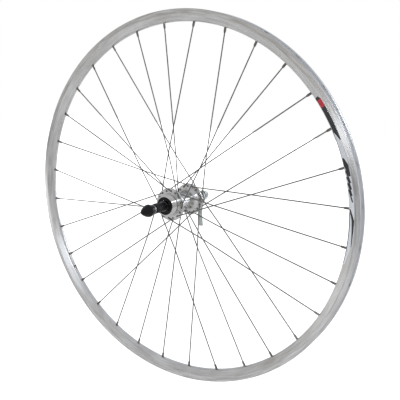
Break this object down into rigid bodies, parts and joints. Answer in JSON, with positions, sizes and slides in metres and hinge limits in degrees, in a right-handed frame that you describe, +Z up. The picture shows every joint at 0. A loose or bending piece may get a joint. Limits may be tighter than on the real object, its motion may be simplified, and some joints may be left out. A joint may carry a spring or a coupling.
{
  "type": "bicycle rear wheel",
  "caption": "Bicycle rear wheel: a box-section alloy rim laced tangentially to a hub threaded for a freewheel, with a hollow axle and a cam-lever quick-release skewer.",
  "frame": {"origin": "the wheel's centre: on the axle's axis, midway between the outer faces of the two locknuts, in the rim's middle plane", "axes": "+Y along the axle, from the freewheel side to the lever side; +Z up in the wheel's plane; +X forward, so a wheel rolling forward turns positively about +Y"},
  "size_m": [0.633, 0.1935, 0.633],
  "materials": {
    "rim_alloy": "satin anodised, finely turned on the brake tracks",
    "hub_alloy": "turned and polished",
    "spoke_steel": "drawn stainless steel",
    "steel": "bright zinc-plated steel",
    "black_steel": "black oxide, slightly oily",
    "black_alloy": "gloss black",
    "black_plastic": "moulded acetal",
    "lever_alloy": "satin forged alloy",
    "brass": "turned brass"
  },
  "bodies": {
    "axle": {"axle": "steel", "drive_cone": "black_steel", "non_drive_cone": "black_steel", "drive_spacer": "black_steel", "non_drive_spacer": "black_steel", "drive_washer": "steel", "non_drive_washer": "steel", "drive_outer_spacer": "black_steel", "drive_locknut": "black_steel", "non_drive_locknut": "black_steel", "cam_saddle": "black_plastic", "lever_end_cap": "lever_alloy", "drive_spring": "steel", "non_drive_spring": "steel"},
    "wheel": {"rim": "rim_alloy", "spoke_01": "spoke_steel", "spoke_02": "spoke_steel", "spoke_03": "spoke_steel", "spoke_04": "spoke_steel", "spoke_05": "spoke_steel", "spoke_06": "spoke_steel", "spoke_07": "spoke_steel", "spoke_08": "spoke_steel", "spoke_09": "spoke_steel", "spoke_10": "spoke_steel", "spoke_11": "spoke_steel", "spoke_12": "spoke_steel", "spoke_13": "spoke_steel", "spoke_14": "spoke_steel", "spoke_15": "spoke_steel", "spoke_16": "spoke_steel", "spoke_17": "spoke_steel", "spoke_18": "spoke_steel", "spoke_19": "spoke_steel", "spoke_20": "spoke_steel", "spoke_21": "spoke_steel", "spoke_22": "spoke_steel", "spoke_23": "spoke_steel", "spoke_24": "spoke_steel", "spoke_25": "spoke_steel", "spoke_26": "spoke_steel", "spoke_27": "spoke_steel", "spoke_28": "spoke_steel", "spoke_29": "spoke_steel", "spoke_30": "spoke_steel", "spoke_31": "spoke_steel", "spoke_32": "spoke_steel", "hub_shell": "hub_alloy", "drive_cup": "steel", "non_drive_cup": "steel", "drive_dust_cap": "black_steel", "non_drive_dust_cap": "black_steel"},
    "drive_cage": {"drive_bearing": "steel"},
    "non_drive_cage": {"non_drive_bearing": "steel"},
    "skewer": {"skewer_rod": "steel", "cam_pin": "steel"},
    "lever": {"lever": "lever_alloy"},
    "nut_thread": {"nut_insert": "brass"},
    "nut": {"skewer_nut": "black_alloy", "nut_face_ring": "steel"}
  },
  "joints": [
    {"name": "wheel_spin", "type": "hinge", "parent": "axle", "child": "wheel", "pos_m": [0, 0, 0], "axis": [0, 1, 0], "continuous": true},
    {"name": "drive_cage_spin", "type": "hinge", "parent": "axle", "child": "drive_cage", "pos_m": [0, -0.031, 0], "axis": [0, 1, 0], "continuous": true},
    {"name": "non_drive_cage_spin", "type": "hinge", "parent": "axle", "child": "non_drive_cage", "pos_m": [0, 0.0375, 0], "axis": [0, 1, 0], "continuous": true},
    {"name": "skewer_slide", "type": "slide", "parent": "axle", "child": "skewer", "axis": [0, -1, 0], "range_m": [0, 0.0024], "deforming": ["drive_spring"]},
    {"name": "lever_cam", "type": "hinge", "parent": "skewer", "child": "lever", "pos_m": [0, 0.0882, 0], "axis": [1, 0, 0], "range_deg": [0, 180]},
    {"name": "nut_advance", "type": "slide", "parent": "skewer", "child": "nut_thread", "axis": [0, 1, 0], "range_m": [-0.0024, 0.0016]},
    {"name": "nut_turn", "type": "hinge", "parent": "nut_thread", "child": "nut", "pos_m": [0, -0.08, 0], "axis": [0, 1, 0], "range_deg": [-1080, 720]}
  ],
  "couplings": [
    {"joint": "drive_cage_spin", "follows": "wheel_spin", "ratio": 0.62},
    {"joint": "non_drive_cage_spin", "follows": "wheel_spin", "ratio": 0.62},
    {"joint": "lever_cam", "follows": "skewer_slide", "rad_per_m": 1309},
    {"joint": "nut_turn", "follows": "nut_advance", "rad_per_m": 7854}
  ]
}
